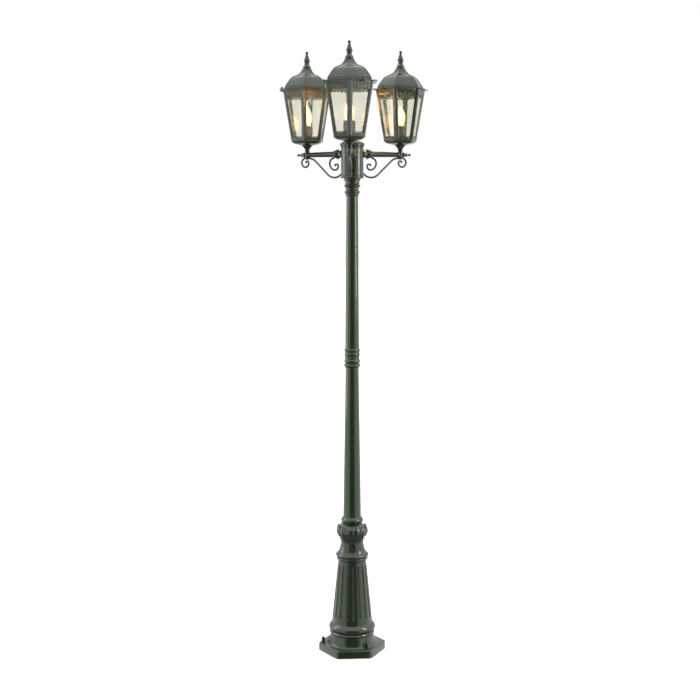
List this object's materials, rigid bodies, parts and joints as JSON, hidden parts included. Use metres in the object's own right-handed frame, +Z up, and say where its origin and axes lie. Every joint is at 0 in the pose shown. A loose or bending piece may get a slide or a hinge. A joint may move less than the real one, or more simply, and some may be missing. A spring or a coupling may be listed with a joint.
{
  "type": "lamp post",
  "caption": "Cast lamp post with a fluted base, a two-part tapered pole and hexagonal lanterns on scroll-braced arms.",
  "frame": {"origin": "centre of the base plate's underside, on the pole's axis", "axes": "+Z up the pole; -Y towards the plate's front flat"},
  "size_m": [0.5435, 0.5244, 2.2],
  "materials": {
    "green_paint": "glossy dark green stoved paint on cast aluminium",
    "pane_glass": "clear, slightly wavy",
    "lamp_glass": "clear lamp glass",
    "lamp_brass": "rolled thread, bright",
    "black_plastic": "satin moulded",
    "ivory_plastic": "satin moulded",
    "lead_sheath": "smooth round sheath"
  },
  "bodies": {
    "post": {"base_plate": "green_paint", "base_body": "green_paint", "base_capital": "green_paint", "lower_pole": "green_paint", "mid_joint": "green_paint", "upper_pole": "green_paint", "top_joint": "green_paint", "hub_body": "green_paint", "hub_screws": "green_paint", "arm_collars": "green_paint", "arm_end_balls": "green_paint", "terminal_block": "ivory_plastic", "lamp_leads": "lead_sheath", "earth_cap": "black_plastic", "arm_front": "green_paint", "arm_left": "green_paint", "arm_right": "green_paint", "bracket_front": "green_paint", "bracket_left": "green_paint", "bracket_right": "green_paint"},
    "hub_cap": {"hub_cap": "green_paint", "cap_knob": "green_paint"},
    "lantern_front": {"stem_front": "green_paint", "stem_nut_front": "green_paint", "bowl_front": "green_paint", "ribs_front": "green_paint", "panes_front": "pane_glass", "valance_front": "green_paint", "lampholder_front": "black_plastic"},
    "lamp_front": {"lamp_cap_front": "lamp_brass", "lamp_glass_front": "lamp_glass"},
    "roof_front": {"roof_front": "green_paint", "finial_front": "green_paint", "roof_nuts_front": "green_paint"},
    "lantern_left": {"stem_left": "green_paint", "stem_nut_left": "green_paint", "bowl_left": "green_paint", "ribs_left": "green_paint", "panes_left": "pane_glass", "valance_left": "green_paint", "lampholder_left": "black_plastic"},
    "lamp_left": {"lamp_cap_left": "lamp_brass", "lamp_glass_left": "lamp_glass"},
    "roof_left": {"roof_left": "green_paint", "finial_left": "green_paint", "roof_nuts_left": "green_paint"},
    "lantern_right": {"stem_right": "green_paint", "stem_nut_right": "green_paint", "bowl_right": "green_paint", "ribs_right": "green_paint", "panes_right": "pane_glass", "valance_right": "green_paint", "lampholder_right": "black_plastic"},
    "lamp_right": {"lamp_cap_right": "lamp_brass", "lamp_glass_right": "lamp_glass"},
    "roof_right": {"roof_right": "green_paint", "finial_right": "green_paint", "roof_nuts_right": "green_paint"}
  },
  "joints": [
    {"name": "hub_cap_lift", "type": "slide", "parent": "post", "child": "hub_cap", "axis": [0, 0, 1], "range_m": [0, 0.08]},
    {"name": "lantern_front_turn", "type": "hinge", "parent": "post", "child": "lantern_front", "pos_m": [-0.02389, -0.19454, 1.829], "axis": [0, 0, 1], "range_deg": [-45, 45]},
    {"name": "roof_front_lift", "type": "slide", "parent": "lantern_front", "child": "roof_front", "axis": [0, 0, 1], "range_m": [0, 0.12]},
    {"name": "lamp_front_unscrew", "type": "slide", "parent": "lantern_front", "child": "lamp_front", "axis": [0, 0, 1], "range_m": [0, 0.025]},
    {"name": "lantern_left_turn", "type": "hinge", "parent": "post", "child": "lantern_left", "pos_m": [-0.15653, 0.11796, 1.829], "axis": [0, 0, 1], "range_deg": [-45, 45]},
    {"name": "roof_left_lift", "type": "slide", "parent": "lantern_left", "child": "roof_left", "axis": [0, 0, 1], "range_m": [0, 0.12]},
    {"name": "lamp_left_unscrew", "type": "slide", "parent": "lantern_left", "child": "lamp_left", "axis": [0, 0, 1], "range_m": [0, 0.025]},
    {"name": "lantern_right_turn", "type": "hinge", "parent": "post", "child": "lantern_right", "pos_m": [0.18042, 0.07658, 1.829], "axis": [0, 0, 1], "range_deg": [-45, 45]},
    {"name": "roof_right_lift", "type": "slide", "parent": "lantern_right", "child": "roof_right", "axis": [0, 0, 1], "range_m": [0, 0.12]},
    {"name": "lamp_right_unscrew", "type": "slide", "parent": "lantern_right", "child": "lamp_right", "axis": [0, 0, 1], "range_m": [0, 0.025]}
  ]
}
